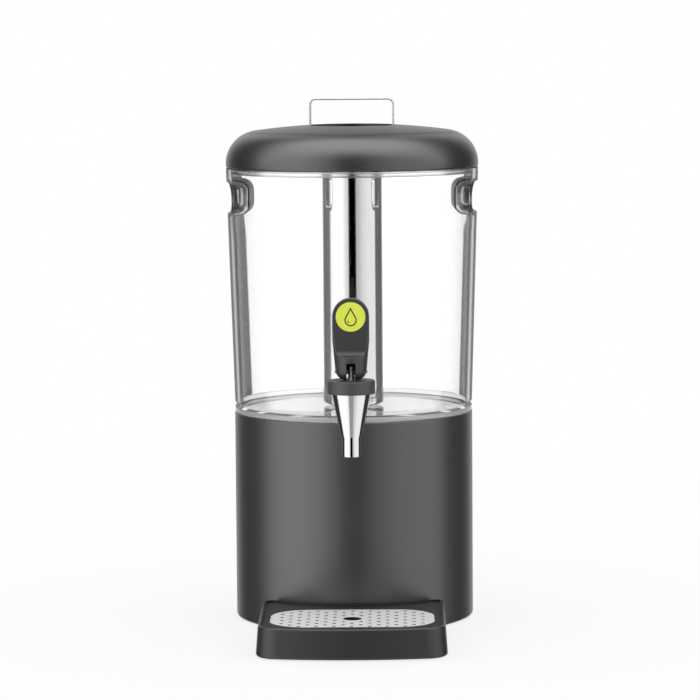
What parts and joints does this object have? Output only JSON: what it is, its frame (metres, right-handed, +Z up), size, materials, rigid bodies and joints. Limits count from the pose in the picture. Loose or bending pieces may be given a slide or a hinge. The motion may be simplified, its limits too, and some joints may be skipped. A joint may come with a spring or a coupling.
{
  "type": "juice dispenser",
  "caption": "Round buffet juice dispenser: clear tapered container with ice tube on a black pedestal, domed lid with handle, lever tap and perforated drip tray.",
  "frame": {"origin": "on the axis of the base, at the level of the table", "axes": "+Z up, -Y towards the tap and the drip tray, +X to the right when facing the tap"},
  "size_m": [0.2752, 0.4278, 0.5681],
  "materials": {
    "black_powder": "matt black powder coat",
    "black_powder_tray": "matt black moulded plastic",
    "bright_steel": "brushed stainless steel",
    "mirror_steel": "mirror-polished stainless steel",
    "chrome": "polished chrome plate",
    "pale_steel": "fine satin stainless steel",
    "clear_plastic": "clear polycarbonate",
    "pale_plastic": "natural translucent polypropylene",
    "pale_silicone": "translucent silicone",
    "black_plastic": "black satin moulded plastic",
    "yellow_green_plastic": "glossy yellow-green insert",
    "dark_rubber": "black rubber"
  },
  "bodies": {
    "base": {"base_shell": "black_powder", "base_top_plate": "bright_steel", "base_bottom_plate": "black_plastic", "base_screws": "bright_steel", "base_foot_ring": "dark_rubber"},
    "container": {"container": "clear_plastic", "tap_body": "chrome", "shank_washer_front": "dark_rubber", "shank_washer_rear": "dark_rubber", "shank_nut": "bright_steel", "tap_bonnet": "black_plastic"},
    "valve": {"tap_stem": "bright_steel", "seat_cup": "dark_rubber", "return_spring": "bright_steel"},
    "lever": {"tap_lever": "black_plastic", "lever_badge": "yellow_green_plastic", "lever_pin": "bright_steel"},
    "lid": {"lid_shell": "black_powder", "lid_liner": "pale_plastic", "tube_socket": "pale_plastic", "lid_seal": "pale_silicone", "lid_handle": "bright_steel", "handle_screws": "bright_steel"},
    "ice_tube": {"ice_tube": "mirror_steel", "tube_collar": "black_plastic"},
    "drip_tray": {"drip_tray": "black_powder_tray", "tray_feet": "dark_rubber"},
    "drip_grate": {"drip_grate": "pale_steel"}
  },
  "joints": [
    {"name": "container_lift", "type": "slide", "parent": "base", "child": "container", "axis": [0, 0, 1], "range_m": [0, 0.2]},
    {"name": "valve_lift", "type": "slide", "parent": "container", "child": "valve", "axis": [0, 0, 1], "range_m": [0, 0.0045], "deforming": ["return_spring"]},
    {"name": "lever_tilt", "type": "hinge", "parent": "valve", "child": "lever", "pos_m": [0, -0.175, 0.2865], "axis": [1, 0, 0], "range_deg": [0, 40], "stiffness_Nm_per_rad": 0.3},
    {"name": "lid_lift", "type": "slide", "parent": "container", "child": "lid", "axis": [0, 0, 1], "range_m": [0, 0.3]},
    {"name": "tube_turn", "type": "hinge", "parent": "lid", "child": "ice_tube", "pos_m": [0, 0, 0.5081], "axis": [0, 0, 1], "range_deg": [0, 45]},
    {"name": "tray_slide", "type": "slide", "parent": "base", "child": "drip_tray", "axis": [0, -1, 0], "range_m": [0, 0.12]},
    {"name": "grate_lift", "type": "slide", "parent": "drip_tray", "child": "drip_grate", "axis": [0, 0, 1], "range_m": [0, 0.12]}
  ],
  "couplings": [
    {"joint": "valve_lift", "follows": "lever_tilt", "m_per_rad": 0.006}
  ]
}
